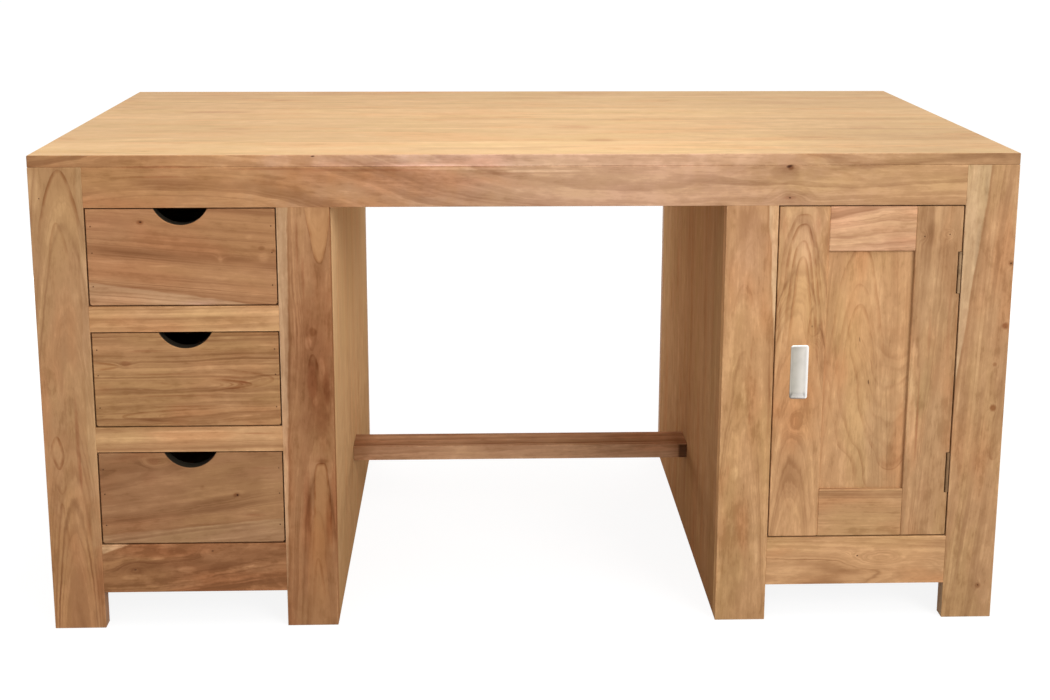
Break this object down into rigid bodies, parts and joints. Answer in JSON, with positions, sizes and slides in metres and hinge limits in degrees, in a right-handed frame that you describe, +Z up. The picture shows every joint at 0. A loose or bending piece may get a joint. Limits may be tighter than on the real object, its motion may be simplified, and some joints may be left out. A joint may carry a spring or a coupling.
{
  "type": "pedestal desk",
  "caption": "Wooden twin pedestal writing desk with inset drawers on the left, a framed cupboard door on the right, a knee space and a foot rail between them.",
  "frame": {"origin": "on the floor under the middle of the desk top", "axes": "+X to the right of a person in front of the desk, +Y towards the back of the desk, +Z up; drawers and door face -Y"},
  "size_m": [1.5, 0.8, 0.76],
  "materials": {
    "solid_wood": "oiled satin hardwood with strong grain",
    "plywood": "plain sanded plywood",
    "hinge_steel": "dull plated steel",
    "pull_metal": "satin nickel",
    "catch_plastic": "brown moulded plastic"
  },
  "bodies": {
    "frame": {"back_apron": "solid_wood", "bottom_drawer_runners": "solid_wood", "cupboard_floor": "solid_wood", "cupboard_shelf": "solid_wood", "desk_top": "solid_wood", "drawer_kickers": "solid_wood", "drawer_stops": "solid_wood", "foot_rail": "solid_wood", "front_apron": "solid_wood", "hinge_frame_screws": "hinge_steel", "hinge_pins": "hinge_steel", "left_back_panel": "plywood", "left_bottom_rail": "solid_wood", "left_inner_back_leg": "solid_wood", "left_inner_front_leg": "solid_wood", "left_inner_side_panel": "solid_wood", "left_outer_back_leg": "solid_wood", "left_outer_front_leg": "solid_wood", "left_outer_side_panel": "solid_wood", "lower_drawer_divider": "solid_wood", "lower_hinge_frame_leaf": "hinge_steel", "magnet_catch": "catch_plastic", "middle_drawer_runners": "solid_wood", "right_back_panel": "plywood", "right_bottom_rail": "solid_wood", "right_inner_back_leg": "solid_wood", "right_inner_front_leg": "solid_wood", "right_inner_side_panel": "solid_wood", "right_outer_back_leg": "solid_wood", "right_outer_front_leg": "solid_wood", "right_outer_side_panel": "solid_wood", "shelf_cleats": "solid_wood", "top_drawer_runners": "solid_wood", "upper_drawer_divider": "solid_wood", "upper_hinge_frame_leaf": "hinge_steel"},
    "top_drawer": {"top_drawer_back": "solid_wood", "top_drawer_bottom": "plywood", "top_drawer_front": "solid_wood", "top_drawer_left_side": "solid_wood", "top_drawer_right_side": "solid_wood"},
    "middle_drawer": {"middle_drawer_back": "solid_wood", "middle_drawer_bottom": "plywood", "middle_drawer_front": "solid_wood", "middle_drawer_left_side": "solid_wood", "middle_drawer_right_side": "solid_wood"},
    "bottom_drawer": {"bottom_drawer_back": "solid_wood", "bottom_drawer_bottom": "plywood", "bottom_drawer_front": "solid_wood", "bottom_drawer_left_side": "solid_wood", "bottom_drawer_right_side": "solid_wood"},
    "door": {"door_bottom_rail": "solid_wood", "door_hinge_stile": "solid_wood", "door_lock_stile": "solid_wood", "door_panel": "solid_wood", "door_pull": "pull_metal", "door_top_rail": "solid_wood", "hinge_door_screws": "hinge_steel", "lower_hinge_door_leaf": "hinge_steel", "strike_plate": "hinge_steel", "upper_hinge_door_leaf": "hinge_steel"}
  },
  "joints": [
    {"name": "top_drawer_slide", "type": "slide", "parent": "frame", "child": "top_drawer", "axis": [0, -1, 0], "range_m": [0, 0.45]},
    {"name": "middle_drawer_slide", "type": "slide", "parent": "frame", "child": "middle_drawer", "axis": [0, -1, 0], "range_m": [0, 0.45]},
    {"name": "bottom_drawer_slide", "type": "slide", "parent": "frame", "child": "bottom_drawer", "axis": [0, -1, 0], "range_m": [0, 0.45]},
    {"name": "door_swing", "type": "hinge", "parent": "frame", "child": "door", "pos_m": [0.6668, -0.39725, 0.41], "axis": [0, 0, 1], "range_deg": [0, 105]}
  ]
}
